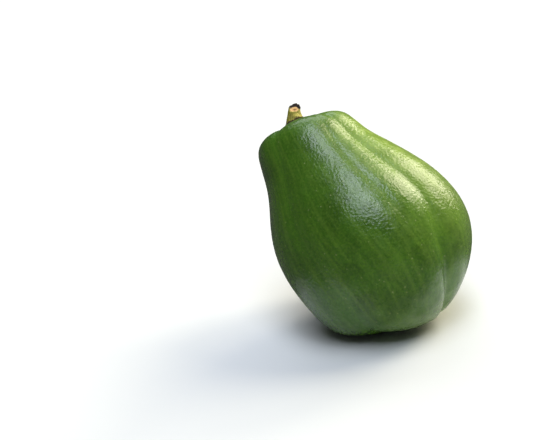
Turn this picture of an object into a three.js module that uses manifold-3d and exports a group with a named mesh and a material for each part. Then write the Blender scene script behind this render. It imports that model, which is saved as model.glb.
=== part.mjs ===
// A whole green papaya with the cut stub of its stalk and the dried calyx round it.
// It leans on the shoulder of its broad blossom end, as a fruit of this shape stands unheld.
// Millimetres. +Z is up, the broad front lobe faces -Y, and the fruit rests on z = 0.

import * as THREE from 'three';
import { mergeVertices } from 'three/addons/utils/BufferGeometryUtils.js';
import Module from 'manifold-3d';

// ---------------------------------------------------------------- driving dimensions

// Smooth profile of the fruit, from the stem end to the blossom end.
// Each control point is a radius and a height along the fruit's own axis.
const PROFILE = [
  [0, 83], [29, 79.5], [35.5, 69], [40, 50], [54.5, 27], [64, 2],
  [66, -26], [60, -48], [46, -62.5], [30.5, -72], [0, -87],
];
const SIDES = 64;                      // facets round the fruit
const RINGS = 56;                      // facets from end to end

// Grooves between the lobes. Angles run round the axis, in degrees. The three depths are shares of
// the radius at the stem end, the belly and the blossom end. The groove also turns round the axis, in
// degrees: the lead at the stem end, the drift past the belly and the hook at the blossom end.
const GROOVES = [
  { angle: -43, width: 10, stem: 0.07, belly: 0.03, blossom: 0.06, lead: 12, drift: 0, hook: 0 },
  { angle: -20, width: 8, stem: 0.015, belly: 0.012, blossom: 0, lead: 0, drift: -8, hook: 0 },
  { angle: 21, width: 4, stem: 0.02, belly: 0.015, blossom: 0, lead: 10, drift: 4, hook: 0 },
  { angle: 43, width: 6, stem: 0.07, belly: 0.06, blossom: 0.12, lead: 3, drift: -10, hook: 10 },
  { angle: 104, width: 12, stem: 0.1, belly: 0.035, blossom: 0.07, lead: 0, drift: 0, hook: 0 },
  { angle: 165, width: 12, stem: 0.08, belly: 0.03, blossom: 0.05, lead: 0, drift: 0, hook: 0 },
  { angle: 238, width: 12, stem: 0.08, belly: 0.03, blossom: 0.06, lead: 0, drift: 0, hook: 0 },
];
const GROOVE_ROUNDING = 0.4;           // softness of a groove's bottom

// Stretches of the fruit, as shares of the way from the stem to the blossom end: where the stem end's
// groove depths fade out, where the blossom end's fade in, where the lead ends, where grooves drift
// and hook, and where the two ends slant.
const STEM_FADE = [0, 0.5];
const BLOSSOM_FADE = [0.5, 0.9];
const LEAD_STRETCH = [0, 0.4];
const DRIFT_STRETCH = [0.5, 0.65];
const HOOK_STRETCH = [0.7, 0.9];
const STEM_SLANT_STRETCH = [0, 0.4];
const BLOSSOM_SLANT_STRETCH = [0.6, 1];
const HALFWAY = 0.5;

const SWAY = [-1, 2.5, -2, 3, -1];     // sideways waves of the axis, mm
const STEM_SLANT = { x: 0, y: -0.21 };          // how steeply the stem end slopes
const BLOSSOM_SLANT = { x: -0.14, y: -0.27 };   // how steeply the blossom end slopes
const STEM_BASIN = { depth: 4.5, radius: 11 };
const BLOSSOM_DIMPLE = { depth: 5, radius: 18 };
const BOW = { degrees: 18, length: 150 };   // both ends bend away from the broad front lobe

// The stub of the stalk, cut off at a slant. Its side line runs from the foot to the cut: radius, height.
const STUB_SIDE = [
  [2.7, 0.2], [4.6, 1.3], [5.4, 3], [5.3, 4.7], [4.9, 6.8], [4.5, 9.3], [4.4, 11.9], [4.4, 14.2],
];
const STUB = {
  ribs: 5, ribShare: 0.06,             // low ribs along the stalk
  heel: 0.2, knee: 1.5, kneeLevel: 8, kneeSpread: 2.6,   // it bulges on the side it leans to
  pinch: 0.28, pinchLevel: 9,          // the same side tapers from this level to the cut
  lean: 13, bend: 21,                  // degrees, towards +y
  cutSlope: 0.85, cutAzimuth: -7, cutStart: 0.45,
  sides: 40,
};

// The dried calyx: a withered cup of five sepals round the foot of the stub. It is tallest at the
// front, and its sepals lean in to the stub except on the side where the stub bulges.
const CALYX = {
  innerRadius: 7.5, flare: -0.7, sideFlare: 1.5, shift: 0.7, thickness: 0.9, thinning: 0.4,
  height: 4.1, frontRise: 0.9, front: 10, notch: 0.8, sepals: 5, firstSepal: -30, sides: 60,
};

const GAP = 0.3;                       // clearance between pieces that touch in life

// How the fruit stands: the direction that points down, in the fruit's own frame.
const DOWN_AZIMUTH = -130.4;           // degrees round the axis, on a hidden lobe
const DOWN_LATITUDE = -56.5;           // degrees from the belly towards the blossom end
const FLAT_DEPTH = 0.35;               // weight flattens the skin this much where it touches
const WELD = 1e-4;                     // corners closer than this are one corner, mm
const STEM_REACH = 0.2;                // the stem basin lies within this share of the way down
const HALVINGS = 24;                   // steps of the search for a place in the basin
const TABLE_SIZE = 400;                // side of the block that trims the underside, mm

const skinGreen = new THREE.MeshStandardMaterial({ color: '#466f26', roughness: 0.42, metalness: 0 });
const stalkOlive = new THREE.MeshStandardMaterial({ color: '#8f8f38', roughness: 0.7, metalness: 0 });
const calyxBrown = new THREE.MeshStandardMaterial({ color: '#3d3420', roughness: 0.85, metalness: 0 });

// ---------------------------------------------------------------- small helpers

const radians = THREE.MathUtils.degToRad;
const smoothstep = THREE.MathUtils.smoothstep;

/** Bends a point's own axis into an arc that leans away from +x. */
function bow(point, degrees, length) {
  const curvature = radians(degrees) / length;
  const reach = 1 / curvature + point.x;
  const angle = curvature * point.z;
  return new THREE.Vector3(reach * Math.cos(angle) - 1 / curvature, point.y, reach * Math.sin(angle));
}

/** Moves every vertex of a lathe geometry: place(column, row) returns its new position. */
function sculpt(geometry, columns, rows, place) {
  const position = geometry.attributes.position;
  for (let i = 0; i <= columns; i += 1) {
    for (let j = 0; j < rows; j += 1) {
      const point = place(i % columns, j);
      position.setXYZ(i * rows + j, point.x, point.y, point.z);
    }
  }
  position.needsUpdate = true;
  return geometry;
}

/** Turns a geometry into a manifold solid. */
function toSolid(wasm, geometry) {
  const bare = geometry.clone();
  bare.deleteAttribute('normal');
  bare.deleteAttribute('uv');
  const welded = mergeVertices(bare, WELD);
  const triangles = [];
  for (let i = 0; i < welded.index.count; i += 3) {
    const corners = [0, 1, 2].map((k) => welded.index.getX(i + k));
    if (new Set(corners).size === 3) triangles.push(...corners);
  }
  const mesh = new wasm.Mesh({
    numProp: 3,
    vertProperties: new Float32Array(welded.attributes.position.array),
    triVerts: new Uint32Array(triangles),
  });
  return new wasm.Manifold(mesh);
}

/** Turns a manifold solid back into a geometry. */
function toGeometry(solid) {
  const mesh = solid.getMesh();
  const geometry = new THREE.BufferGeometry();
  geometry.setAttribute('position', new THREE.BufferAttribute(mesh.vertProperties, 3));
  geometry.setIndex(new THREE.BufferAttribute(mesh.triVerts, 1));
  return geometry;
}

// ---------------------------------------------------------------- shape of the fruit

/** One control point of the profile, mirrored through the axis past either end. */
function control(k) {
  const last = PROFILE.length - 1;
  const mirrored = k < 0 ? -k : k > last ? 2 * last - k : k;
  const sign = mirrored === k ? 1 : -1;
  return { radius: sign * PROFILE[mirrored][0], height: PROFILE[mirrored][1] };
}

/** Radius, height and outward normal of the smooth profile; s is 0 at the stem and 1 at the blossom. */
function profileAt(s) {
  const spans = PROFILE.length - 1;
  const i = Math.min(Math.floor(s * spans), spans - 1);
  const f = s * spans - i;
  const weights = [(1 - f) ** 3, 3 * f ** 3 - 6 * f ** 2 + 4, -3 * f ** 3 + 3 * f ** 2 + 3 * f + 1, f ** 3];
  const slopes = [-3 * (1 - f) ** 2, 9 * f ** 2 - 12 * f, -9 * f ** 2 + 6 * f + 3, 3 * f ** 2];
  let radius = 0;
  let height = 0;
  let radiusSlope = 0;
  let heightSlope = 0;
  for (let k = 0; k < 4; k += 1) {
    const point = control(i - 1 + k);
    radius += (weights[k] * point.radius) / 6;
    height += (weights[k] * point.height) / 6;
    radiusSlope += slopes[k] * point.radius;
    heightSlope += slopes[k] * point.height;
  }
  const length = Math.hypot(radiusSlope, heightSlope);
  return { radius, height, normalRadius: -heightSlope / length, normalHeight: radiusSlope / length };
}

/** Depth of all the grooves at a place on the skin, as a share of the radius. */
function grooveShare(s, theta) {
  const stemShare = 1 - smoothstep(s, ...STEM_FADE);
  const blossomShare = smoothstep(s, ...BLOSSOM_FADE);
  const bellyShare = (1 - stemShare) * (1 - blossomShare);
  let share = 0;
  const leadShare = 1 - smoothstep(s, ...LEAD_STRETCH);
  const driftShare = smoothstep(s, ...DRIFT_STRETCH);
  const hookShare = smoothstep(s, ...HOOK_STRETCH);
  for (const groove of GROOVES) {
    const turn = groove.lead * leadShare + groove.drift * driftShare + groove.hook * hookShare;
    const centre = radians(groove.angle + turn);
    const away = THREE.MathUtils.euclideanModulo(theta - centre + Math.PI, 2 * Math.PI) - Math.PI;
    const across = away / radians(groove.width);
    const dip = Math.exp(GROOVE_ROUNDING - Math.hypot(across, GROOVE_ROUNDING));
    share += dip * (groove.stem * stemShare + groove.belly * bellyShare + groove.blossom * blossomShare);
  }
  return share;
}

/** A point of the skin, in the fruit's own frame: z towards the stem, x through the broad front lobe. */
function skinPoint(s, theta) {
  const profile = profileAt(s);
  const depth = profile.radius * grooveShare(s, theta);
  const radius = profile.radius - depth * profile.normalRadius;
  let height = profile.height - depth * profile.normalHeight;
  const x = radius * Math.cos(theta);
  const sway = SWAY.reduce((sum, wave, k) => sum + wave * Math.sin((k + 1) * Math.PI * s), 0);
  const y = radius * Math.sin(theta) + sway;
  height += (x * STEM_SLANT.x + y * STEM_SLANT.y) * (1 - smoothstep(s, ...STEM_SLANT_STRETCH));
  height += (x * BLOSSOM_SLANT.x + y * BLOSSOM_SLANT.y) * smoothstep(s, ...BLOSSOM_SLANT_STRETCH);
  if (s < HALFWAY) height -= STEM_BASIN.depth * Math.exp(-((radius / STEM_BASIN.radius) ** 2));
  else height += BLOSSOM_DIMPLE.depth * Math.exp(-((radius / BLOSSOM_DIMPLE.radius) ** 2));
  return bow(new THREE.Vector3(x, y, height), BOW.degrees, BOW.length);
}

/** The fruit's skin as one closed surface. */
function makeFruit() {
  const outline = [];
  for (let j = 0; j <= RINGS; j += 1) {
    const profile = profileAt(1 - j / RINGS);
    outline.push(new THREE.Vector2(Math.abs(profile.radius), profile.height));
  }
  const lathe = new THREE.LatheGeometry(outline, SIDES);
  return sculpt(lathe, SIDES, RINGS + 1, (i, j) => skinPoint(1 - j / RINGS, (i / SIDES) * 2 * Math.PI));
}

// ---------------------------------------------------------------- the stem end

/** Place and axes of the stem basin's floor. */
function basinFrame() {
  const origin = skinPoint(0, 0);
  const near = 0.01;
  const towardX = skinPoint(near, 0).sub(skinPoint(near, Math.PI)).normalize();
  const towardY = skinPoint(near, Math.PI / 2).sub(skinPoint(near, -Math.PI / 2));
  const up = new THREE.Vector3().crossVectors(towardX, towardY).normalize();
  const across = new THREE.Vector3().crossVectors(up, towardX);
  return { origin, matrix: new THREE.Matrix4().makeBasis(towardX, across, up).setPosition(origin) };
}

/** Height of the skin above the basin floor, at a distance from the stalk and an angle round it. */
function basinHeight(frame, distance, theta) {
  const inverse = frame.matrix.clone().invert();
  let low = 0;
  let high = STEM_REACH;
  for (let step = 0; step < HALVINGS; step += 1) {
    const middle = (low + high) / 2;
    const local = skinPoint(middle, theta).applyMatrix4(inverse);
    if (Math.hypot(local.x, local.y) < distance) low = middle;
    else high = middle;
  }
  return skinPoint(low, theta).applyMatrix4(inverse).z;
}

/** The stub of the stalk: a ribbed tapering stem with a flared foot, a lean and a slanting cut. */
function makeStub(frame) {
  const length = STUB_SIDE[STUB_SIDE.length - 1][1];
  const footRadius = Math.max(...STUB_SIDE.map(([radius]) => radius));
  const outline = [[0, 0], ...STUB_SIDE, [0, length]].map(([x, y]) => new THREE.Vector2(x, y));
  const lathe = new THREE.LatheGeometry(outline, STUB.sides);
  const cut = radians(STUB.cutAzimuth);
  const lean = radians(STUB.lean);
  sculpt(lathe, STUB.sides, outline.length, (i, j) => {
    const theta = (i / STUB.sides) * 2 * Math.PI;
    const level = outline[j].y;
    const rib = 1 - STUB.ribShare * Math.cos(STUB.ribs * theta);
    const bulgeSide = (0.5 + 0.5 * Math.sin(theta)) ** 2;
    const heel = STUB.heel * outline[j].x * (1 - smoothstep(level, 0, STUB.kneeLevel));
    const knee = STUB.knee * Math.exp(-(((level - STUB.kneeLevel) / STUB.kneeSpread) ** 2));
    const bulge = outline[j].x > 0 ? (heel + knee) * bulgeSide : 0;
    const pinched = 1 - STUB.pinch * bulgeSide * smoothstep(level, STUB.pinchLevel, length);
    const radius = outline[j].x * rib * pinched + bulge;
    const x = radius * Math.cos(theta);
    const y = radius * Math.sin(theta);
    const slant = STUB.cutSlope * smoothstep(level, STUB.cutStart * length, length);
    const z = level - slant * (x * Math.cos(cut) + y * Math.sin(cut));
    // The stalk bends away from its own -y side, so it leans towards +y.
    const bent = bow(new THREE.Vector3(-y, x, z), STUB.bend, length);
    return new THREE.Vector3(bent.y, -bent.x, bent.z);
  });
  lathe.rotateX(-lean);
  lathe.translate(0, 0, GAP + footRadius * Math.sin(lean));
  return lathe.applyMatrix4(frame.matrix);
}

/** The dried calyx: a closed ring that stands on the basin floor, with pointed sepals. */
function makeCalyx(frame) {
  const heights = [0, 0.5, 1, 1, 0.5, 0, 0];      // up the outside of a sepal and down its inside
  const outside = [1, 1, 1, 0, 0, 0, 1];
  const loop = heights.map((share, k) => new THREE.Vector2(CALYX.innerRadius + outside[k], share));
  const lathe = new THREE.LatheGeometry(loop, CALYX.sides);
  sculpt(lathe, CALYX.sides, loop.length, (i, j) => {
    const theta = (i / CALYX.sides) * 2 * Math.PI;
    const sepal = Math.abs(Math.cos((CALYX.sepals * (theta - radians(CALYX.firstSepal))) / 2));
    const tip = CALYX.height + CALYX.frontRise * Math.cos(theta - radians(CALYX.front));
    const height = tip * THREE.MathUtils.lerp(CALYX.notch, 1, sepal);
    const foot = CALYX.innerRadius + CALYX.thickness * outside[j];
    const thinner = CALYX.thickness * CALYX.thinning * outside[j] * heights[j];
    const flare = CALYX.flare + CALYX.sideFlare * Math.sin(theta);
    const distance = foot - thinner + flare * heights[j] ** 2;
    const z = basinHeight(frame, foot, theta) + GAP + height * heights[j];
    const shift = CALYX.shift * heights[j];
    return new THREE.Vector3(distance * Math.cos(theta), distance * Math.sin(theta) + shift, z);
  });
  return lathe.applyMatrix4(frame.matrix);
}

// ---------------------------------------------------------------- standing the fruit on the table

/** Turns the fruit's own frame into the resting frame: chosen side down, front lobe towards -Y. */
function restingTurn() {
  const azimuth = radians(DOWN_AZIMUTH);
  const latitude = radians(DOWN_LATITUDE);
  const up = new THREE.Vector3(
    -Math.cos(latitude) * Math.cos(azimuth), -Math.cos(latitude) * Math.sin(azimuth), -Math.sin(latitude));
  const back = new THREE.Vector3(-1, 0, 0).addScaledVector(up, up.x).normalize();
  const side = new THREE.Vector3().crossVectors(back, up);
  return new THREE.Matrix4().makeBasis(side, back, up).transpose();
}

/** Takes the thin slices off the fruit where its weight flattens it on the table. */
function flattenUnder(wasm, geometry) {
  const table = new THREE.BoxGeometry(TABLE_SIZE, TABLE_SIZE, TABLE_SIZE);
  table.translate(0, 0, -TABLE_SIZE / 2);
  return toGeometry(toSolid(wasm, geometry).subtract(toSolid(wasm, table)));
}

const wasm = await Module();
wasm.setup();

const turn = restingTurn();
const basin = basinFrame();
const fruitSkin = makeFruit().applyMatrix4(turn);
const stubSkin = makeStub(basin).applyMatrix4(turn);
const calyxSkin = makeCalyx(basin).applyMatrix4(turn);

// Lower everything until the fruit stands FLAT_DEPTH into the table, then slice that part away.
fruitSkin.computeBoundingBox();
const drop = -fruitSkin.boundingBox.min.z - FLAT_DEPTH;
for (const geometry of [fruitSkin, stubSkin, calyxSkin]) geometry.translate(0, 0, drop);

const fruit = new THREE.Mesh(flattenUnder(wasm, fruitSkin), skinGreen);
fruit.name = 'fruit';
const stub = new THREE.Mesh(stubSkin, stalkOlive);
stub.name = 'stem_stub';
const calyx = new THREE.Mesh(calyxSkin, calyxBrown);
calyx.name = 'calyx';

const papaya = new THREE.Group();
papaya.add(fruit, stub, calyx);

// The origin lies under the middle of the whole object.
const box = new THREE.Box3().setFromObject(papaya);
const middle = box.getCenter(new THREE.Vector3());
papaya.position.set(-middle.x, -middle.y, -box.min.z);

export default papaya;
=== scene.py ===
"""Dresses the green papaya in waxy skin, adds its stalk stub and calyx, and sets a pale stage."""
import math

import bmesh
import bpy
import numpy as np
from bpy.props import FloatProperty, FloatVectorProperty, IntProperty, PointerProperty
from mathutils import Euler, Matrix, Vector, noise


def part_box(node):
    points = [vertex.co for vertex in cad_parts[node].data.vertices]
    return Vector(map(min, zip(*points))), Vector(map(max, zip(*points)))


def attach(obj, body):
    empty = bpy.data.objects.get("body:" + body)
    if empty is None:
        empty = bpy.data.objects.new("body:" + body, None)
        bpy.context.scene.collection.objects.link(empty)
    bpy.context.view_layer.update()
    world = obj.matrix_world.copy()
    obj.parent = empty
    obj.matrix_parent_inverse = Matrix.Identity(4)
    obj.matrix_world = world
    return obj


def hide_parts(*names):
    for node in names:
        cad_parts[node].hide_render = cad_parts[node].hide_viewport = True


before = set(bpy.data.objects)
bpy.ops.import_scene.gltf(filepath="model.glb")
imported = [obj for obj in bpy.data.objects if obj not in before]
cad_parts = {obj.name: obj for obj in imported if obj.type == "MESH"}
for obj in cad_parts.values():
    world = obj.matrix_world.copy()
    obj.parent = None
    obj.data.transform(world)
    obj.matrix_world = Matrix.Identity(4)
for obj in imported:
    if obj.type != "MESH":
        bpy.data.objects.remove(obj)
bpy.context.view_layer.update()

bl_info = {
    "name": "Green papaya",
    "version": (1, 0, 0),
    "blender": (4, 5, 0),
    "location": "3D View > Sidebar > Papaya",
    "description": "An unripe papaya with its stalk stub and calyx, and a stage to show it on",
    "category": "Object",
}

MM = 0.001
WHOLE_TURN = 2 * math.pi


def linear(hex_colour):
    """An sRGB hex colour as linear red, green and blue."""
    parts = [int(hex_colour[i:i + 2], 16) / 255 for i in (1, 3, 5)]
    return [c / 12.92 if c <= 0.04045 else ((c + 0.055) / 1.055) ** 2.4 for c in parts]


def length(name, description, default):
    """A property for a length in metres, given in millimetres."""
    return FloatProperty(name=name, description=description, default=default * MM,
                         unit="LENGTH", precision=5)


def colour(name, description, default):
    """A property for a colour, given as sRGB hex."""
    return FloatVectorProperty(name=name, description=description, default=linear(default),
                               subtype="COLOR", size=3, min=0, max=1)


def angle(name, description, default):
    """A property for an angle, given in degrees."""
    return FloatProperty(name=name, description=description, default=math.radians(default),
                         subtype="ANGLE")


def light(name, description, default):
    """A property for the brightness of a light."""
    return FloatProperty(name=name, description=description, default=default, min=0)


def count(name, description, default, least, most):
    """A property for a number of faces."""
    return IntProperty(name=name, description=description, default=default, min=least, max=most)


# ------------------------------------------------------------------ the fruit's own shape, in mm

# Smooth side line from the stem end to the blossom end: a radius and a height on the fruit's axis.
PROFILE = [
    (0, 83), (29, 79.5), (35.5, 69), (40, 50), (54.5, 27), (64, 2),
    (66, -26), (60, -48), (46, -62.5), (30.5, -72), (0, -87),
]

# Grooves between the lobes: angle round the axis and width in degrees, depth at the stem end, the
# belly and the blossom end as shares of the radius, and by how many degrees the groove leads at the
# stem end, drifts past the belly and hooks at the blossom end.
GROOVES = [
    (-43, 10, 0.07, 0.03, 0.06, 12, 0, 0),
    (-20, 8, 0.015, 0.012, 0, 0, -8, 0),
    (21, 4, 0.02, 0.015, 0, 10, 4, 0),
    (43, 6, 0.07, 0.06, 0.12, 3, -10, 10),
    (104, 12, 0.1, 0.035, 0.07, 0, 0, 0),
    (165, 12, 0.08, 0.03, 0.05, 0, 0, 0),
    (238, 12, 0.08, 0.03, 0.06, 0, 0, 0),
]
GROOVE_ROUNDING = 0.4                  # softness of a groove's bottom

# Stretches of the fruit, as shares of the way from the stem to the blossom end: where the stem
# end's groove depths fade out, where the blossom end's fade in, where grooves lead, drift and hook,
# and where the two ends slant.
STEM_FADE = (0, 0.5)
BLOSSOM_FADE = (0.5, 0.9)
LEAD_STRETCH = (0, 0.4)
DRIFT_STRETCH = (0.5, 0.65)
HOOK_STRETCH = (0.7, 0.9)
STEM_SLANT_STRETCH = (0, 0.4)
BLOSSOM_SLANT_STRETCH = (0.6, 1)
HALFWAY = 0.5

SWAY = (-1, 2.5, -2, 3, -1)            # sideways waves of the axis
STEM_SLANT = (0, -0.21)                # how steeply the stem end slopes towards x and y
BLOSSOM_SLANT = (-0.14, -0.27)         # how steeply the blossom end slopes towards x and y
STEM_BASIN = (4.5, 11)                 # depth and radius
BLOSSOM_DIMPLE = (5, 18)               # depth and radius
BOW = (math.radians(18), 150)          # both ends bend away from the front lobe: angle over length

# The direction that points down when the fruit stands: round its axis, and towards the blossom end.
DOWN_AZIMUTH = math.radians(-130.4)
DOWN_LATITUDE = math.radians(-56.5)

PLAIN_RINGS, PLAIN_SIDES = 56, 64      # faces of the plain fruit, whose box places the skin
BASIN_REACH = 0.2                      # the stem basin lies within this share of the way down
BASIN_STEPS = 400
BASIN_EDGE = 0.01                      # share of the way down where the basin's slope is taken

# The skin's own relief and marks. Places along the fruit are shares of the way from the stem end.
CALM_END = 0.06                        # the swellings die away this near to both ends
SWELL_SEED, DENT_SEED = 3.1, 8.4
RIND_RADIUS, RIND_LENGTH = 60, 170     # the usual radius and the length that its streaks follow
# The yellowed side is partly sun yellow and partly painted light on the lit right flank.
SUN_AND_LIT_SIDE = (math.radians(72), math.radians(42))     # middle and spread of the yellowed side
SUN_AND_LIGHT_RISE = (0.02, 0.3)                 # its yellow grows
SUN_AND_LIGHT_FALL = (0.3, 0.8)                  # its yellow fades
NECK = (0.02, 0.3)                     # the clear green round the stem fades
# Towards the blossom end the skin turns greyer, partly real wax bloom and partly a painted
# reflection of the pale floor.
BLOOM_AND_SHEEN = (0.66, 0.9)                    # the wax bloom grows
GROOVE_TINT = (0.01, 0.06)             # depths, in shares of the radius, that turn a groove greener
UNDERSIDE = (0, 0.6)                   # how far the skin faces down where its grain fades

# Side line of the stalk stub, from its foot to the cut: a radius and a height.
STUB_SIDE = [
    (2.7, 0.2), (4.6, 1.3), (5.4, 3), (5.3, 4.7), (4.9, 6.8), (4.5, 9.3), (4.4, 11.9), (4.4, 14.2),
]
STUB_ROWS = 70
STUB_RIBS = (5, 0.06)                  # their number, and their height as a share of the radius
STUB_HEEL = 0.2                        # the foot bulges by this share on the side it leans to
STUB_KNEE = (1.5, 8, 2.6)              # bulge above the heel: height, level and spread
STUB_PINCH = (0.2, 9)                  # the same side tapers by this share from this level up
STUB_LEAN = math.radians(13)
STUB_BEND = math.radians(21)
STUB_CUT = (0.85, math.radians(-7), 0.45)       # slope, direction, and where the slant starts
STUB_PLAIN_FOOT = (1, 4)               # levels between which fibres and lumps begin
FIBRES = (23, 0.8, 3)                  # their number, and how far and how often they crowd together
LUMP_SIZE, LUMP_SEED = 3, 5.3
GAP = 0.3                              # clearance from the skin

# The cut: a rim of bark that has dried, then flesh that sinks towards the pith. Each row of the rim
# is a share of the radius, a height above the cut and how far the row follows the bark's curl.
CUT_RIM = [(1, 0.05, 1), (0.96, 0.12, 1), (0.87, 0, 0.8), (0.79, -0.4, 0.1)]
CUT_FLESH = (0.74, 0.04, 14)           # from and to these shares of the radius, in so many rows
CUT_SINK = (0.5, 0.3, 0.4, 0.2)        # at the rim, more at the middle and pith, the pith's radius
CURL_DEPTH = 2                         # the bark curls this far down from the cut
CURL_RAG = ((0.3, 7, 2), (0.2, 12, 0))          # waves of its ragged edge: height, number, phase
DRY_SIDE = (-0.55, 0.45)               # the bark turns dry on the way to the far side, which is 1
DRY_START, DRY_FULL, DRY_END = -8, -4, 3        # rows before and after the start of the flesh
PITH = (0.1, 0.5)                      # shares of the radius between which the pith ends

# The calyx, a cup of withered sepals round the foot of the stub.
SEPALS = (5, math.radians(-30))        # their number, and the place of the first
SEPAL_HEIGHT = (4.1, 0.9, math.radians(10))     # mean height, rise at the front, and the front
SEPAL_NOTCH = 0.8                      # height between two sepals as a share of a tip's
SEPAL_ROWS = 12
SEPAL_RAG = ((0.2, 17, 1), (0.16, 31, 0))       # waves of their ragged tips: height, number, phase
SEPAL_VEINS = (3, 0.12)                # how many there are to a sepal, and how deep they lie
CALYX_FOOT = 7.5                       # inner radius
CALYX_FLARE = (-0.7, 1.5)              # outward curl of the tips, and how it changes to the side
CALYX_SHIFT = 0.7                      # how far the cup leans to its side
CALYX_WALL = (0.9, 0.4)                # thickness, and the share that it loses at the tip

# The stage, in metres.
FLOOR_SIDE = 9
LIT_POINT = (0, 0, 0.075)              # the middle of the fruit, which the lamps face
SENSOR_WIDTH = 36                      # millimetres
NEAREST_SEEN = 0.05
# Parts of the floor beside the fruit that stay pale in the skin's reflections, where the rest of
# the reflected floor is painted dark: their middles and their edges.
BRIGHT_SPOTS = ((0.09, -0.03, 0), (-0.07, -0.045, 0))
BRIGHT_EDGE = (0.04, 0.085)
# Painted shade: the floor left of the fruit is painted darker for the light it bounces.
LEFT_PAINTED_SHADE = (-0.06, -0.2)             # where the floor left of the fruit gives less light back


# ------------------------------------------------------------------ shape functions

def smooth(x, start=0.0, end=1.0):
    """0 before start, 1 after end, and a smooth step between them."""
    t = np.clip((x - start) / (end - start), 0, 1)
    return t * t * (3 - 2 * t)


def evenly_round(number):
    """Angles of a number of points evenly spaced round an axis."""
    return np.arange(number) / number * WHOLE_TURN


def turn_from(centre, theta):
    """The angle from a centre to theta, between minus half a turn and half a turn."""
    return (theta - centre + math.pi) % WHOLE_TURN - math.pi


def waves(theta, rows):
    """Waves round an axis, added up: each row is a height, a number of waves and a phase."""
    return sum(height * np.sin(number * theta + phase) for height, number, phase in rows)


def profile_at(s):
    """Radius, height and outward normal of the side line, from the stem, 0, to the blossom, 1."""
    line = np.array(PROFILE, float)
    line = np.vstack([line[1] * (-1, 1), line, line[-2] * (-1, 1)])
    spans = len(PROFILE) - 1
    i = np.minimum((s * spans).astype(int), spans - 1)
    f = s * spans - i
    weights = np.stack([(1 - f) ** 3, 3 * f ** 3 - 6 * f ** 2 + 4,
                        -3 * f ** 3 + 3 * f ** 2 + 3 * f + 1, f ** 3], -1) / 6
    slopes = np.stack([-3 * (1 - f) ** 2, 9 * f ** 2 - 12 * f,
                       -9 * f ** 2 + 6 * f + 3, 3 * f ** 2], -1)
    points = line[i[..., None] + np.arange(4)]
    place = (weights[..., None] * points).sum(-2)
    slope = (slopes[..., None] * points).sum(-2)
    slope /= np.linalg.norm(slope, axis=-1, keepdims=True)
    return place[..., 0], place[..., 1], -slope[..., 1], slope[..., 0]


def groove_share(s, theta):
    """Depth of all the grooves at a place on the skin, as a share of the radius."""
    stem_end = 1 - smooth(s, *STEM_FADE)
    blossom_end = smooth(s, *BLOSSOM_FADE)
    belly = (1 - stem_end) * (1 - blossom_end)
    share = np.zeros(np.broadcast(s, theta).shape)
    for at, width, stem, middle, blossom, lead, drift, hook in GROOVES:
        turn = (lead * (1 - smooth(s, *LEAD_STRETCH)) + drift * smooth(s, *DRIFT_STRETCH)
                + hook * smooth(s, *HOOK_STRETCH))
        across = turn_from(np.radians(at + turn), theta) / math.radians(width)
        dip = np.exp(GROOVE_ROUNDING - np.hypot(across, GROOVE_ROUNDING))
        share += dip * (stem * stem_end + middle * belly + blossom * blossom_end)
    return share


def bowed(x, y, z, bend, reach):
    """Bends the z axis into an arc that leans away from +x."""
    curvature = bend / reach
    radius = 1 / curvature + x
    return np.stack([radius * np.cos(curvature * z) - 1 / curvature, y,
                     radius * np.sin(curvature * z)], -1)


def skin_points(s, theta):
    """Points of the skin in the fruit's own frame: z towards the stem, x through the front lobe."""
    s, theta = np.broadcast_arrays(np.asarray(s, float), np.asarray(theta, float))
    radius, height, out, along = profile_at(s)
    depth = radius * groove_share(s, theta)
    radius = radius - depth * out
    height = height - depth * along
    x = radius * np.cos(theta)
    y = radius * np.sin(theta) + sum(w * np.sin((k + 1) * math.pi * s) for k, w in enumerate(SWAY))
    height = height + (x * STEM_SLANT[0] + y * STEM_SLANT[1]) * (1 - smooth(s, *STEM_SLANT_STRETCH))
    height = (height + (x * BLOSSOM_SLANT[0] + y * BLOSSOM_SLANT[1])
              * smooth(s, *BLOSSOM_SLANT_STRETCH))
    basin = STEM_BASIN[0] * np.exp(-(radius / STEM_BASIN[1]) ** 2)
    dimple = BLOSSOM_DIMPLE[0] * np.exp(-(radius / BLOSSOM_DIMPLE[1]) ** 2)
    height = np.where(s < HALFWAY, height - basin, height + dimple)
    return bowed(x, y, height, *BOW)


def resting_turn():
    """The turn from the fruit's own frame to the frame it stands in, front lobe towards -Y."""
    up = -Vector((math.cos(DOWN_LATITUDE) * math.cos(DOWN_AZIMUTH),
                  math.cos(DOWN_LATITUDE) * math.sin(DOWN_AZIMUTH), math.sin(DOWN_LATITUDE)))
    back = Vector((-1, 0, 0))
    back = (back - up * back.dot(up)).normalized()
    return np.array([back.cross(up), back, up])


def basin_frame():
    """Origin and axes of the floor of the stem basin, in the fruit's own frame."""
    origin = skin_points(0, 0)
    front, right, back, left = (skin_points(BASIN_EDGE, k * math.pi / 2) for k in (0, 1, 2, -1))
    across = front - back
    across /= np.linalg.norm(across)
    up = np.cross(across, right - left)
    up /= np.linalg.norm(up)
    return origin, np.array([across, np.cross(up, across), up])


def from_basin(points):
    """Moves points in mm from the floor of the stem basin to where the fruit stands, in metres."""
    origin, axes = basin_frame()
    return standing(points @ axes + origin)


def basin_floor(distance, theta):
    """Height of the skin above the floor of the stem basin, at a distance from its middle."""
    origin, axes = basin_frame()
    s = np.linspace(0, BASIN_REACH, BASIN_STEPS)[:, None]
    near = (skin_points(s, theta) - origin) @ axes.T
    away = np.hypot(near[..., 0], near[..., 1])
    return np.array([np.interp(d, away[:, k], near[:, k, 2]) for k, d in enumerate(distance)])


def grid_normals(points):
    """Outward normals of a grid of rings, rows from the stem end down."""
    down = np.gradient(points, axis=0)
    round_ = (np.roll(points, -1, 1) - np.roll(points, 1, 1)) / 2
    normal = np.cross(down, round_)
    return normal / np.maximum(np.linalg.norm(normal, axis=-1, keepdims=True), 1e-9)


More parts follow.
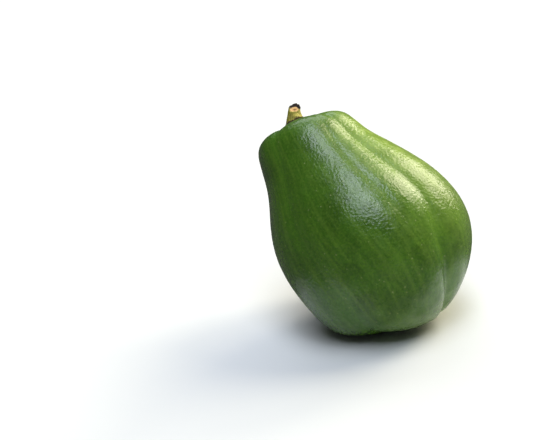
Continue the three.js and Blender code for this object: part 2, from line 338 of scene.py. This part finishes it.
def smooth_line(corners, number):
    """A smooth line of a number of points through all the corners, evenly stepped between them."""
    corners = np.array(corners, float)
    ends = np.vstack([2 * corners[0] - corners[1], corners, 2 * corners[-1] - corners[-2]])
    step = np.linspace(0, len(corners) - 1, number)
    i = np.minimum(step.astype(int), len(corners) - 2)
    f = (step - i)[:, None]
    a, b, c, d = (ends[i + k] for k in range(4))
    return (2 * b + (c - a) * f + (2 * a - 5 * b + 4 * c - d) * f ** 2
            + (3 * b - 3 * c + d - a) * f ** 3) / 2


def ring_mesh(name, rings, start_pole=None, end_pole=None, closed_rows=False):
    """A smooth mesh from a grid of rings, closed at either end by a pole or by joining its rows."""
    rows, columns = rings.shape[:2]
    mesh = bpy.data.meshes.new(name)
    made = bmesh.new()
    grid = [[made.verts.new(p) for p in ring] for ring in rings]
    pairs = [(j, (j + 1) % rows) for j in range(rows if closed_rows else rows - 1)]
    for a, b in pairs:
        for i in range(columns):
            k = (i + 1) % columns
            made.faces.new((grid[a][i], grid[b][i], grid[b][k], grid[a][k]))
    for pole, ring, flip in ((start_pole, grid[0], False), (end_pole, grid[-1], True)):
        if pole is None:
            continue
        tip = made.verts.new(pole)
        for i in range(columns):
            k = (i + 1) % columns
            corners = (tip, ring[i], ring[k]) if not flip else (tip, ring[k], ring[i])
            made.faces.new(corners)
    for face in made.faces:
        face.smooth = True
    bmesh.ops.recalc_face_normals(made, faces=made.faces)
    made.to_mesh(mesh)
    made.free()
    return mesh


def name_values(mesh, name, values):
    """Keeps one number for each vertex of a mesh under a name that a material can read."""
    layer = mesh.attributes.new(name, "FLOAT", "POINT")
    layer.data.foreach_set("value", np.asarray(values, np.float32).ravel())


def place_piece(name, mesh, node, material):
    """Puts a mesh in the scene as a piece that rides on the root and stands for a CAD node."""
    if name in bpy.data.objects:
        raise RuntimeError(f"{name} is already in the scene")
    piece = bpy.data.objects.new(name, mesh)
    bpy.context.scene.collection.objects.link(piece)
    mesh.materials.append(material)
    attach(piece, "root")
    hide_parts(node)


def standing(points):
    """Moves points in mm from the fruit's own frame to where the fruit stands, in metres."""
    turn = resting_turn()
    s = np.linspace(0, 1, PLAIN_RINGS + 1)[:, None]
    skin = skin_points(s, evenly_round(PLAIN_SIDES)) @ turn.T * MM
    low, high = (np.array(corner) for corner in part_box("fruit"))
    skin_low, skin_high = skin.min((0, 1)), skin.max((0, 1))
    shift = (low + high - skin_low - skin_high) / 2
    shift[2] = high[2] - skin_high[2]
    return points @ turn.T * MM + shift


def bumps(points, size, seed):
    """Smooth noise from about -1 to 1 at points in metres, with bumps of a size in metres."""
    offset = Vector((seed, seed * 1.7, -seed))
    flat = points.reshape(-1, 3) / size
    values = [noise.noise(Vector(p) + offset) for p in flat]
    return np.array(values).reshape(points.shape[:-1])


# ------------------------------------------------------------------ materials

def add(tree, kind, inputs=None, output=0, **settings):
    """Adds one node with its settings and gives one output; each input is linked or set."""
    node = tree.nodes.new(kind)
    for key, value in settings.items():
        setattr(node, key, value)
    for key, value in (inputs or {}).items():
        if isinstance(value, bpy.types.NodeSocket):
            tree.links.new(value, node.inputs[key])
        else:
            node.inputs[key].default_value = value
    return node.outputs[output] if node.outputs else None


def rgba(colour_value):
    """A colour property as red, green, blue and alpha."""
    return (*colour_value, 1)


def new_material(name):
    """An empty material with nodes, and its node tree."""
    material = bpy.data.materials.new(name)
    material.use_nodes = True
    material.node_tree.nodes.clear()
    return material, material.node_tree


def patterns(tree, rows):
    """Soft-edged patterns of noise, from 0 to 1.

    Each row is a place, the size of a spot in mm, the noise's levels for 0 and 1, and its detail.
    """
    found = []
    for place, size, low, high, detail in rows:
        field = add(tree, "ShaderNodeTexNoise", {
            "Vector": place, "Scale": 1 / (size * MM), "Detail": detail})
        found.append(add(tree, "ShaderNodeMapRange", {
            "Value": field, "From Min": low, "From Max": high}, interpolation_type="SMOOTHSTEP"))
    return found


def painted(tree, colour_under, layers):
    """Lays colours over one another; each layer is a pattern, how much it covers and a colour."""
    # A mix node's inputs 6 and 7 and its output 2 are the ones for colours.
    for pattern, strength, colour_over in layers:
        share = add(tree, "ShaderNodeMath", {0: pattern, 1: strength},
                    operation="MULTIPLY", use_clamp=True)
        colour_under = add(tree, "ShaderNodeMix", {0: share, 6: colour_under, 7: colour_over},
                           output=2, data_type="RGBA")
    return colour_under


def relief(tree, rows):
    """The normal of a relief: each row is a pattern and its height in metres."""
    height = 0.0
    for pattern, tall in rows:
        height = add(tree, "ShaderNodeMath", {0: pattern, 1: tall, 2: height},
                     operation="MULTIPLY_ADD")
    return add(tree, "ShaderNodeBump", {"Height": height, "Strength": 1.0, "Distance": 1.0})


def waxy_skin(looks):
    """Living papaya rind: a thin leathery skin under natural wax, grown smooth and never polished.

    Cells just under the wax make a grain of about 1.7 mm that breaks every highlight into glints.
    The green is deep on the belly, clearer round the stem and in the grooves, and yellow where the
    sun has reached it; on the lit right flank that yellow is also painted light. Wax bloom greys
    the blossom end, and there it is also a painted reflection of the pale floor. Pale pores dot the
    whole skin.
    """
    material, tree = new_material("living papaya rind with natural wax")
    place = add(tree, "ShaderNodeTexCoord", output="Object")
    rind = add(tree, "ShaderNodeAttribute", output="Vector", attribute_name="rind")
    sun, groove, bloom, neck, under = (
        add(tree, "ShaderNodeAttribute", output="Fac", attribute_name=name)
        for name in ("sun", "groove", "bloom", "neck", "under"))
    # The same noise drawn out about eight times along the fruit gives its lengthwise streaks.
    drawn = add(tree, "ShaderNodeVectorMath", {0: rind, 1: (1, 1, 0.12)}, operation="MULTIPLY")
    # Spots of greener, paler and greyer skin, from clouds of 36 mm to flecks of 1.6 mm.
    cloud, mottle, patch, streak, fleck, smear = patterns(tree, (
        (place, 36, 0.4, 0.6, 2), (place, 7, 0.35, 0.7, 3), (place, 15, 0.42, 0.64, 3),
        (drawn, 3.5, 0.42, 0.68, 2), (place, 1.6, 0.4, 0.7, 1), (place, 22, 0.35, 0.65, 3)))

    # Pores: pale soft-edged dots 0.6 mm across, in nearly half of the cells of 4 mm. They are drawn
    # a third larger than life, because real ones are too fine to show.
    near = add(tree, "ShaderNodeTexVoronoi", {"Vector": place, "Scale": 1 / (4 * MM)})
    dot = add(tree, "ShaderNodeMapRange", {
        "Value": near, "From Min": 0.07, "From Max": 0.16, "To Min": 1.0, "To Max": 0.0})
    some = add(tree, "ShaderNodeMath", {0: near.node.outputs["Color"], 1: 0.55},
               operation="GREATER_THAN")
    pore = add(tree, "ShaderNodeMath", {0: dot, 1: some}, operation="MULTIPLY")

    uneven = add(tree, "ShaderNodeMapRange", {"Value": mottle, "To Min": 0.7, "To Max": 1.0})
    # Sun yellow on the right flank, partly painted light where the lamps light that flank.
    sunned_and_lit = add(tree, "ShaderNodeMath", {0: sun, 1: uneven}, operation="MULTIPLY")
    # Wax bloom, partly a painted reflection of the pale floor on the lower end.
    greyed_and_sheen = add(tree, "ShaderNodeMath", {0: bloom, 1: smear}, operation="MULTIPLY")
    body = painted(tree, rgba(looks.deep_green), (
        (cloud, 1.0, rgba(looks.leaf_green)), (mottle, 0.35, rgba(looks.leaf_green)),
        (patch, 0.3, rgba(looks.fresh_green)),
        (neck, 0.3, rgba(looks.fresh_green)), (groove, 0.35, rgba(looks.fresh_green)),
        (sunned_and_lit, 1.0, rgba(looks.sun_yellow_and_painted_light)), (streak, 0.14, rgba(looks.pale_streak)),
        (greyed_and_sheen, 0.75, rgba(looks.wax_grey_and_sheen)), (fleck, 0.11, rgba(looks.pale_streak)),
        (pore, 0.35, rgba(looks.pore_pale))))

    grain = add(tree, "ShaderNodeTexNoise", {
        "Vector": place, "Scale": 1 / looks.grain_size, "Detail": 1.0, "Roughness": 0.4})
    wrinkle = add(tree, "ShaderNodeTexNoise", {
        "Vector": drawn, "Scale": 1 / (2.2 * MM), "Detail": 2.0})
    ripple = add(tree, "ShaderNodeTexNoise", {
        "Vector": place, "Scale": 1 / (6 * MM), "Detail": 1.0})
    # The grain fades on the underside, to about a seventh of its height.
    grainy = add(tree, "ShaderNodeMapRange", {
        "Value": under, "To Min": looks.grain, "To Max": 0.15 * looks.grain})
    normal = relief(tree, ((grain, grainy), (wrinkle, looks.wrinkle),
                           (ripple, looks.ripple), (pore, -0.03 * MM)))
    gloss = add(tree, "ShaderNodeMapRange", {"Value": mottle, "To Min": 0.24, "To Max": 0.32})
    shader = add(tree, "ShaderNodeBsdfPrincipled", {
        "Base Color": body, "Roughness": gloss, "Normal": normal, "IOR": 1.5})
    add(tree, "ShaderNodeOutputMaterial", {"Surface": shader})
    return material


def cut_stalk(looks):
    """Cut papaya stalk: a fibrous green stem, cut days ago, that dries from the cut down.

    The bark is olive with lengthwise fibres and corky specks. The flesh of the cut has dried to
    peach round a tan pith, and the bark at the far side of the cut has curled up and turned black.
    """
    material, tree = new_material("cut papaya stalk drying at the end")
    place = add(tree, "ShaderNodeTexCoord", output="Object")
    along, cut, rim, pith, sunny_and_lit, fibre = (
        add(tree, "ShaderNodeAttribute", output="Fac", attribute_name=name)
        for name in ("along", "cut", "rim", "pith", "sunny_and_lit", "fibre"))
    blotch, speck, crumb = patterns(tree, (
        (place, 3.2, 0.4, 0.62, 2), (place, 0.9, 0.52, 0.7, 2), (place, 0.5, 0.35, 0.65, 1)))
    foot = add(tree, "ShaderNodeMapRange", {
        "Value": along, "From Min": 0.05, "From Max": 0.45, "To Min": 1.0, "To Max": 0.0})
    # One side of the bark is painted yellower, partly sunned bark and partly painted light on the
    # stub's lit side.
    bark = painted(tree, rgba(looks.stalk_green), (
        (sunny_and_lit, 1.0, rgba(looks.stalk_yellow_and_lit)), (foot, 0.35, rgba(looks.stalk_green)),
        (blotch, 0.5, rgba(looks.stalk_olive)), (fibre, 0.4, rgba(looks.stalk_olive)),
        (speck, 0.4, rgba(looks.cut_tan))))
    flesh = painted(tree, rgba(looks.cut_peach), (
        (blotch, 0.35, rgba(looks.cut_tan)), (pith, 0.75, rgba(looks.cut_tan)),
        (crumb, 0.25, rgba(looks.cut_tan))))
    body = painted(tree, bark, ((cut, 1.0, flesh), (rim, 1.0, rgba(looks.cut_rim))))
    normal = relief(tree, ((speck, 0.12 * MM), (crumb, 0.06 * MM), (fibre, -0.1 * MM)))
    shader = add(tree, "ShaderNodeBsdfPrincipled", {
        "Base Color": body, "Roughness": 0.65, "Specular IOR Level": 0.25, "Normal": normal})
    add(tree, "ShaderNodeOutputMaterial", {"Surface": shader})
    return material


def dried_calyx(looks):
    """Dried calyx: a dull papery collar of five withered sepals, nearly black with tan edges.

    The near black is partly the withered sepals' own colour and partly painted shade of the recess
    round the foot of the stub.
    """
    material, tree = new_material("withered papery calyx")
    place = add(tree, "ShaderNodeTexCoord", output="Object")
    up, vein = (add(tree, "ShaderNodeAttribute", output="Fac", attribute_name=name)
                for name in ("up", "vein"))
    blotch, crumb = patterns(tree, ((place, 2.4, 0.42, 0.66, 3), (place, 0.6, 0.4, 0.7, 1)))
    edge = add(tree, "ShaderNodeMapRange", {"Value": up, "From Min": 0.75, "From Max": 1.0})
    # The near-black sepals are partly painted shade of the recess round the stub's foot.
    body = painted(tree, rgba(looks.calyx_dark_and_shade), (
        (blotch, 0.35, rgba(looks.calyx_tan)), (edge, 0.4, rgba(looks.calyx_tan)),
        (vein, 0.3, rgba(looks.calyx_tan)), (crumb, 0.15, rgba(looks.calyx_tan))))
    normal = relief(tree, ((blotch, 0.2 * MM), (crumb, 0.08 * MM)))
    shader = add(tree, "ShaderNodeBsdfPrincipled", {
        "Base Color": body, "Roughness": 0.85, "Specular IOR Level": 0.25, "Normal": normal})
    add(tree, "ShaderNodeOutputMaterial", {"Surface": shader})
    return material


def matt_sheet(stage):
    """Matt white paper: it scatters light evenly and has no shine, only its fibres' faint mottle.

    In the skin's reflections the floor is painted dark grey, a painted dark reflection, except for
    two spots just beside the fruit, which stay pale. For the light it bounces, the floor to the
    left of the fruit is painted darker, a painted shade as if another fruit lay there.
    """
    material, tree = new_material("matt white paper")
    place = add(tree, "ShaderNodeTexCoord", output="Object")
    mottle, = patterns(tree, ((place, 40, 0.3, 0.7, 3),))
    # The floor that the skin mirrors is painted dark grey, a painted dark reflection, except near
    # the bright spots.
    mirrored = add(tree, "ShaderNodeLightPath", output="Is Glossy Ray")
    right, left = (
        add(tree, "ShaderNodeVectorMath", {0: place, 1: spot}, output="Value", operation="DISTANCE")
        for spot in BRIGHT_SPOTS)
    away = add(tree, "ShaderNodeMath", {0: right, 1: left}, operation="MINIMUM")
    inner, outer = BRIGHT_EDGE
    dim = add(tree, "ShaderNodeMapRange", {"Value": away, "From Min": inner, "From Max": outer},
              interpolation_type="SMOOTHSTEP")
    dimly = add(tree, "ShaderNodeMath", {0: mirrored, 1: dim}, operation="MULTIPLY")
    # Painted shade: light bounced from the floor left of the fruit is darkened, as if another fruit
    # lay there.
    across = add(tree, "ShaderNodeSeparateXYZ", {"Vector": place})
    start, full = LEFT_PAINTED_SHADE
    leftward = add(tree, "ShaderNodeMapRange", {
        "Value": across, "From Min": start, "From Max": full})
    painted_bounce_shade = add(tree, "ShaderNodeMath", {0: mirrored.node.outputs["Is Diffuse Ray"], 1: leftward},
                 operation="MULTIPLY")
    body = painted(tree, rgba(stage.floor_colour), (
        (mottle, 0.04, rgba(stage.floor_mottle)), (dimly, 0.93, rgba(stage.floor_painted_dark)),
        (painted_bounce_shade, 0.6, rgba(stage.floor_painted_dark))))
    shader = add(tree, "ShaderNodeBsdfPrincipled", {
        "Base Color": body, "Roughness": 0.9, "Specular IOR Level": 0.2})
    add(tree, "ShaderNodeOutputMaterial", {"Surface": shader})
    return material


# ------------------------------------------------------------------ settings

class PapayaSkinSettings(bpy.types.PropertyGroup):
    """Fineness, relief and colours of the fruit."""
    rings: count("Rings", "Rows of faces from end to end", 240, 40, 300)
    sides: count("Sides", "Faces round the fruit", 288, 48, 320)
    swell: length("Swell", "Height of the broad shallow swellings of the skin", 0.35)
    swell_size: length("Swell size", "Distance between the broad swellings", 24)
    dent: length("Dents", "Height of the small uneven places of the skin", 0.09)
    dent_size: length("Dent size", "Distance between the small uneven places", 7)
    grain: length("Grain", "Height of the fine grain that breaks up highlights", 0.3)
    grain_size: length("Grain size", "Distance between the fine grains", 1.7)
    wrinkle: length("Wrinkles", "Height of the fine lengthwise wrinkles", 0.12)
    ripple: length("Ripples", "Height of the ripples a few millimetres across", 0.25)
    deep_green: colour("Deep green", "Skin of the belly", "#30510f")
    leaf_green: colour("Leaf green", "Usual skin", "#3a5e14")
    fresh_green: colour("Fresh green", "Skin round the stem and in the grooves", "#467317")
    # Partly painted light: the lit right flank is painted yellower.
    sun_yellow_and_painted_light: colour("Sun yellow", "Skin where the sun has reached it", "#8fa843")
    pale_streak: colour("Pale streak", "Faint streaks and flecks", "#82a03c")
    # Partly a painted reflection of the pale floor.
    wax_grey_and_sheen: colour("Wax grey", "Wax bloom on the blossom end", "#7d9468")
    pore_pale: colour("Pore", "Pale pores", "#b9bd84")


class PapayaStalkSettings(bpy.types.PropertyGroup):
    """Fineness and colours of the stalk stub and the calyx."""
    sides: count("Sides", "Faces round the stub", 140, 24, 240)
    fibre: length("Fibre", "Mean depth of the lines between the fibres of the stalk", 0.06)
    lump: length("Lumps", "Height of the uneven places of the stalk", 0.1)
    curl: length("Curl", "How far the dry bark stands up at the far side of the cut", 0.9)
    calyx_thickness: length("Calyx thickness", "Thickness of the withered sepals", 0.5)
    stalk_green: colour("Stalk green", "Bark of the stub", "#8f8c26")
    stalk_olive: colour("Stalk olive", "Darker bark between the fibres", "#55521a")
    # Partly painted light on the stub's lit side.
    stalk_yellow_and_lit: colour("Stalk yellow", "Bark of the side that the sun has reached", "#d6c866")
    cut_tan: colour("Cut tan", "Pith and corky specks", "#8a5a22")
    cut_peach: colour("Cut peach", "Flesh of the cut", "#e0b87c")
    cut_rim: colour("Cut rim", "Curled dry bark at the far side of the cut", "#1c0f0b")
    # Partly painted shade of the recess round the stub's foot.
    calyx_dark_and_shade: colour("Calyx dark", "Withered sepals", "#14130d")
    calyx_tan: colour("Calyx tan", "Edges and veins of the sepals", "#5a4a2c")


class PapayaStageSettings(bpy.types.PropertyGroup):
    """Camera, light and floor."""
    camera_height: angle("Camera height", "Angle of the camera above level", 20.96)
    camera_roll: angle("Camera roll", "Clockwise roll of the camera", 8.25)
    camera_distance: length("Camera distance", "From the camera to the point it looks at", 1039)
    camera_lens: FloatProperty(name="Lens", description="Focal length on a 36 mm sensor",
                               default=100, unit="CAMERA")
    camera_aim: FloatVectorProperty(name="Aim", description="Point that the camera looks at",
                                    default=(-0.0627, 0.0097, 0.0795), size=3,
                                    subtype="TRANSLATION", unit="LENGTH")
    floor_colour: colour("Floor", "Pale matt floor", "#dadada")
    floor_mottle: colour("Floor mottle", "Faint mottle of the floor", "#d0d0d0")
    # Painted dark floor, seen only in the skin's reflections and in light bounced from the left.
    floor_painted_dark: colour("Mirrored floor", "Floor as the waxy skin mirrors it", "#303030")
    room_light: light("Room light", "Brightness of the room", 0.06)
    backdrop: light("Backdrop", "Brightness behind the floor", 0.95)
    lamp_distance: length("Lamp distance", "From the lamps to the fruit", 20000)
    overhead: light("Overhead window", "Light on the fruit from above, in W/m2", 1.3)
    front: light("Front window", "Light on the fruit from high in front, in W/m2", 1.4)
    ceiling: light("Ceiling", "Light on the fruit from the whole ceiling, in W/m2", 0.3)
    back: light("Back window", "Light on the fruit from high behind, in W/m2", 1.2)
    side: light("Side window", "Light on the fruit from the right, in W/m2", 1.85)
    low_back: light("Low back window", "Light on the fruit from low behind, in W/m2", 1.7)


# ------------------------------------------------------------------ operators

class PAPAYA_OT_skin(bpy.types.Operator):
    """Makes the fruit's skin in place of the plain fruit"""
    bl_idname = "papaya.skin"
    bl_label = "Make skin"

    def execute(self, context):
        looks = context.scene.papaya_skin
        s = np.linspace(0, 1, looks.rings + 1)[1:-1, None]
        theta = evenly_round(looks.sides)
        points = standing(skin_points(s, theta))
        ends = smooth(s, 0, CALM_END) * smooth(1 - s, 0, CALM_END)
        swelling = looks.swell * bumps(points, looks.swell_size, SWELL_SEED)
        dents = looks.dent * bumps(points, looks.dent_size, DENT_SEED)
        points = points + grid_normals(points) * ((swelling + dents) * ends)[..., None]
        # The fruit's weight flattens its skin where it touches the floor.
        points[..., 2] = np.maximum(points[..., 2], 0)
        stem = standing(skin_points(0, 0))
        blossom = standing(skin_points(1, 0))
        mesh = ring_mesh("papaya_skin", points, stem, blossom)

        # The places that the streaks follow: round the fruit at its usual radius, and along it.
        # Zeros for the whole grid are added to what is the same along a row or a column.
        whole = np.zeros((len(s), len(theta)))
        radius, reach = RIND_RADIUS * MM, RIND_LENGTH * MM
        rind = np.stack([np.cos(theta) * radius + whole, np.sin(theta) * radius + whole,
                         reach * s + whole], -1)
        rind = np.vstack([rind.reshape(-1, 3), (0, 0, 0), (0, 0, reach)])
        layer = mesh.attributes.new("rind", "FLOAT_VECTOR", "POINT")
        layer.data.foreach_set("vector", rind.astype(np.float32).ravel())

        # The sun mark is partly sun yellow and partly painted light on the lit right flank.
        around, spread = SUN_AND_LIT_SIDE
        sun = np.exp(-(turn_from(around, theta) / spread) ** 2)
        sun = sun * smooth(s, *SUN_AND_LIGHT_RISE) * (1 - smooth(s, *SUN_AND_LIGHT_FALL))
        faces_down = -grid_normals(points)[..., 2]
        # Each mark has a value at every point of the skin, and then at the stem and blossom ends.
        for name, values, last in (
                # The sun mark is partly painted light on the lit right flank.
                ("sun", sun, (0, 0)),
                ("groove", smooth(groove_share(s, theta), *GROOVE_TINT), (0, 0)),
                ("neck", 1 - smooth(s + whole, *NECK), (1, 0)),
                # The bloom mark is partly a painted reflection of the pale floor.
                ("bloom", smooth(s + whole, *BLOOM_AND_SHEEN), (0, 1)),
                ("under", smooth(faces_down, *UNDERSIDE), (0, 0))):
            name_values(mesh, name, np.append(values, last))
        place_piece("papaya_skin", mesh, "fruit", waxy_skin(looks))
        return {"FINISHED"}


class PAPAYA_OT_stub(bpy.types.Operator):
    """Makes the cut stub of the stalk in place of the plain one"""
    bl_idname = "papaya.stub"
    bl_label = "Make stalk stub"

    def execute(self, context):
        looks = context.scene.papaya_stalk
        top_radius, top = STUB_SIDE[-1]
        side = smooth_line([(0, 0), *STUB_SIDE], STUB_ROWS)[1:]
        outer, inner, flesh_rows = CUT_FLESH
        face = np.linspace(outer, inner, flesh_rows)
        rim_sink, middle_sink, pith_sink, pith_radius = CUT_SINK
        sunk = (-rim_sink - middle_sink * (1 - face)
                - pith_sink * np.exp(-(face / pith_radius) ** 2))
        ending = np.vstack([CUT_RIM, np.stack([face, sunk, 0 * face], -1)])
        radius = np.append(side[:, 0], ending[:, 0] * top_radius)[:, None]
        level = np.append(side[:, 1], top + ending[:, 1])[:, None]
        curl = np.append(smooth(side[:, 1], top - CURL_DEPTH, top), ending[:, 2])[:, None]
        rows = len(level)
        face_start = rows - flesh_rows
        theta = evenly_round(looks.sides)

        ribs, share = STUB_RIBS
        rib = 1 - share * np.cos(ribs * theta)
        fibres, crowding, crowds = FIBRES
        grown = smooth(level, *STUB_PLAIN_FOOT)
        between = (1 - np.cos(fibres * theta + crowding * np.sin(crowds * theta))) / 2 * grown
        # The lines between the fibres are twice as deep in their middle as on average.
        fibre = 1 - 2 * looks.fibre / top_radius / MM * between
        knee_height, knee_level, knee_spread = STUB_KNEE
        # The yellow side is partly sunned bark and partly painted light on the side the lamps
        # light; the same side bulges.
        sunny_and_lit_side = 0.5 + 0.5 * np.sin(theta)
        bulge_side = sunny_and_lit_side ** 2
        heel = STUB_HEEL * radius * (1 - smooth(level, 0, knee_level))
        knee = knee_height * np.exp(-((level - knee_level) / knee_spread) ** 2)
        knee[face_start:] = 0
        pinch, pinch_start = STUB_PINCH
        pinched = 1 - pinch * bulge_side * smooth(level, pinch_start, top)
        wide = radius * rib * fibre * pinched + (heel + knee) * bulge_side
        x = wide * np.cos(theta)
        y = wide * np.sin(theta)
        slope, azimuth, start = STUB_CUT
        slant = slope * smooth(level, start * top, top)
        z = level - slant * (x * math.cos(azimuth) + y * math.sin(azimuth))
        farness = -np.cos(theta - azimuth)
        z = z + looks.curl / MM * curl * smooth(farness) * (1 + waves(theta, CURL_RAG))
        # The stalk bends away from its own -y side, so it leans towards +y.
        bent = bowed(-y, x, z, STUB_BEND, top)
        bent = np.stack([bent[..., 1], -bent[..., 0], bent[..., 2]], -1)
        lean = np.array(Matrix.Rotation(-STUB_LEAN, 3, "X"))
        foot_radius = max(r for r, _ in STUB_SIDE)
        points = from_basin(bent @ lean.T + (0, 0, GAP + foot_radius * math.sin(STUB_LEAN)))
        lumps = looks.lump * bumps(points, LUMP_SIZE * MM, LUMP_SEED) * grown
        points = points + grid_normals(points) * lumps[..., None]
        mesh = ring_mesh("stalk_stub", points, points[0].mean(0), points[-1].mean(0))

        whole = np.zeros((rows, len(theta)))
        row = np.arange(rows)[:, None] + whole
        dry = (smooth(farness, *DRY_SIDE)
               * smooth(row, face_start + DRY_START, face_start + DRY_FULL)
               * (1 - smooth(row, face_start, face_start + DRY_END)))
        pith = np.where(row >= face_start, 1 - smooth(radius / top_radius, *PITH), 0)
        # Each mark has a value at every point, and then at the foot and in the middle of the cut.
        for name, values, last in (
                ("along", np.clip(level / top, 0, 1) + whole, (0, 1)),
                ("cut", row >= face_start, (0, 1)),
                ("rim", dry, (0, 0)),
                ("pith", pith, (0, 1)),
                ("sunny_and_lit", sunny_and_lit_side + whole, (0, 0)),
                ("fibre", between, (0, 0))):
            name_values(mesh, name, np.append(values, last))
        place_piece("stalk_stub", mesh, "stem_stub", cut_stalk(looks))
        return {"FINISHED"}


class PAPAYA_OT_calyx(bpy.types.Operator):
    """Makes the withered calyx round the foot of the stub in place of the plain cup"""
    bl_idname = "papaya.calyx"
    bl_label = "Make calyx"

    def execute(self, context):
        looks = context.scene.papaya_stalk
        theta = evenly_round(looks.sides * 2)
        up = np.linspace(0, 1, SEPAL_ROWS)
        heights = np.append(up, up[::-1])[:, None]
        outside = np.repeat((1.0, 0.0), len(up))[:, None]
        sepals, first = SEPALS
        sepal = np.abs(np.cos(sepals * (theta - first) / 2))
        low, rise, front = SEPAL_HEIGHT
        tips = low + rise * np.cos(theta - front)
        height = tips * (SEPAL_NOTCH + (1 - SEPAL_NOTCH) * sepal) + waves(theta, SEPAL_RAG)
        wall, thinning = CALYX_WALL
        thickness = looks.calyx_thickness / MM
        foot = CALYX_FOOT + wall - thickness + thickness * outside
        veins, vein_depth = SEPAL_VEINS
        vein = np.abs(np.sin(sepals * veins * theta / 2))
        flare, side_flare = CALYX_FLARE
        curl = (flare + side_flare * np.sin(theta)) * heights ** 2
        distance = foot - thickness * thinning * outside * heights + curl
        distance = distance - vein_depth * vein * heights
        floor = basin_floor(np.full(len(theta), CALYX_FOOT + wall), theta)
        z = floor + GAP + height * heights
        points = np.stack([distance * np.cos(theta),
                           distance * np.sin(theta) + CALYX_SHIFT * heights, z], -1)
        mesh = ring_mesh("withered_calyx", from_basin(points), closed_rows=True)
        name_values(mesh, "up", heights * np.ones(len(theta)))
        name_values(mesh, "vein", vein + 0 * heights)
        place_piece("withered_calyx", mesh, "calyx", dried_calyx(looks))
        return {"FINISHED"}


class PAPAYA_OT_stage(bpy.types.Operator):
    """Sets the floor, the lights and the camera"""
    bl_idname = "papaya.stage"
    bl_label = "Set stage"

    def execute(self, context):
        stage = context.scene.papaya_stage
        scene = context.scene
        scene.view_settings.view_transform = "Standard"

        floor_mesh = bpy.data.meshes.new("floor")
        made = bmesh.new()
        bmesh.ops.create_grid(made, x_segments=1, y_segments=1, size=FLOOR_SIDE / 2)
        made.to_mesh(floor_mesh)
        made.free()
        floor = bpy.data.objects.new("floor", floor_mesh)
        scene.collection.objects.link(floor)
        floor_mesh.materials.append(matt_sheet(stage))

        world = bpy.data.worlds.new("room")
        world.use_nodes = True
        background = world.node_tree.nodes["Background"]
        # The room lights the fruit dimly, and looks as pale as the far end of the floor.
        seen = add(world.node_tree, "ShaderNodeLightPath", output="Is Camera Ray")
        strength = add(world.node_tree, "ShaderNodeMapRange", {
            "Value": seen, "To Min": stage.room_light, "To Max": stage.backdrop})
        world.node_tree.links.new(strength, background.inputs["Strength"])
        background.inputs["Color"].default_value = (1, 1, 1, 1)
        scene.world = world

        # Each lamp has a direction from the fruit, a width and height as shares of its distance,
        # its light and its colour.
        lamps = (
            ("overhead window", (0.035, -0.14, 0.99), (0.42, 0.62), stage.overhead, "#e8f2ff"),
            ("front window", (0.03, -0.52, 0.855), (0.72, 0.42), stage.front, "#e8f2ff"),
            ("ceiling", (0.0, 0.09, 0.996), (1.05, 1.05), stage.ceiling, "#f2f7ff"),
            ("back window", (0.03, 0.67, 0.74), (0.9, 0.7), stage.back, "#f2f7ff"),
            ("side window", (0.68, 0.2, 0.71), (0.45, 0.55), stage.side, "#fff6d8"),
            ("low back window", (0.67, 0.61, 0.42), (0.4, 0.6), stage.low_back, "#fff6d8"),
        )
        for name, toward, (width, height), strength, tint in lamps:
            lamp = bpy.data.lights.new(name, "AREA")
            lamp.shape = "ELLIPSE"
            lamp.size = width * stage.lamp_distance
            lamp.size_y = height * stage.lamp_distance
            lamp.energy = strength * math.pi * stage.lamp_distance ** 2
            lamp.color = linear(tint)
            holder = bpy.data.objects.new(name, lamp)
            direction = Vector(toward).normalized()
            holder.location = Vector(LIT_POINT) + direction * stage.lamp_distance
            holder.rotation_euler = direction.to_track_quat("Z", "Y").to_euler()
            scene.collection.objects.link(holder)

        camera = bpy.data.cameras.new("camera")
        camera.lens = stage.camera_lens
        camera.sensor_width = SENSOR_WIDTH
        camera.clip_start = NEAREST_SEEN
        viewer = bpy.data.objects.new("camera", camera)
        tilt = Euler((math.pi / 2 - stage.camera_height, 0, 0)).to_matrix()
        roll = Matrix.Rotation(-stage.camera_roll, 3, "Z")
        turn = tilt @ roll
        place = Vector(stage.camera_aim) + turn @ Vector((0, 0, stage.camera_distance))
        viewer.matrix_world = Matrix.LocRotScale(place, turn.to_quaternion(), None)
        scene.collection.objects.link(viewer)
        scene.camera = viewer
        return {"FINISHED"}


class PAPAYA_PT_panel(bpy.types.Panel):
    """Lists the papaya's pieces"""
    bl_idname = "PAPAYA_PT_panel"
    bl_label = "Green papaya"
    bl_space_type = "VIEW_3D"
    bl_region_type = "UI"
    bl_category = "Papaya"

    def draw(self, context):
        for operator in STEPS:
            self.layout.operator(operator.bl_idname)
        for group in ("papaya_skin", "papaya_stalk", "papaya_stage"):
            settings = getattr(context.scene, group)
            box = self.layout.box()
            for name in settings.bl_rna.properties.keys():
                if name not in ("rna_type", "name"):
                    box.prop(settings, name)


STEPS = (PAPAYA_OT_skin, PAPAYA_OT_stub, PAPAYA_OT_calyx, PAPAYA_OT_stage)
CLASSES = (PapayaSkinSettings, PapayaStalkSettings, PapayaStageSettings, *STEPS, PAPAYA_PT_panel)


def register():
    """Adds the settings, operators and panel."""
    for cls in CLASSES:
        bpy.utils.register_class(cls)
    bpy.types.Scene.papaya_skin = PointerProperty(type=PapayaSkinSettings)
    bpy.types.Scene.papaya_stalk = PointerProperty(type=PapayaStalkSettings)
    bpy.types.Scene.papaya_stage = PointerProperty(type=PapayaStageSettings)


def unregister():
    """Takes away the settings, operators and panel."""
    del bpy.types.Scene.papaya_stage
    del bpy.types.Scene.papaya_stalk
    del bpy.types.Scene.papaya_skin
    for cls in reversed(CLASSES):
        bpy.utils.unregister_class(cls)


def main():
    """Builds the whole scene."""
    register()
    bpy.ops.papaya.skin()
    bpy.ops.papaya.stub()
    bpy.ops.papaya.calyx()
    bpy.ops.papaya.stage()


if __name__ == "__main__":
    main()
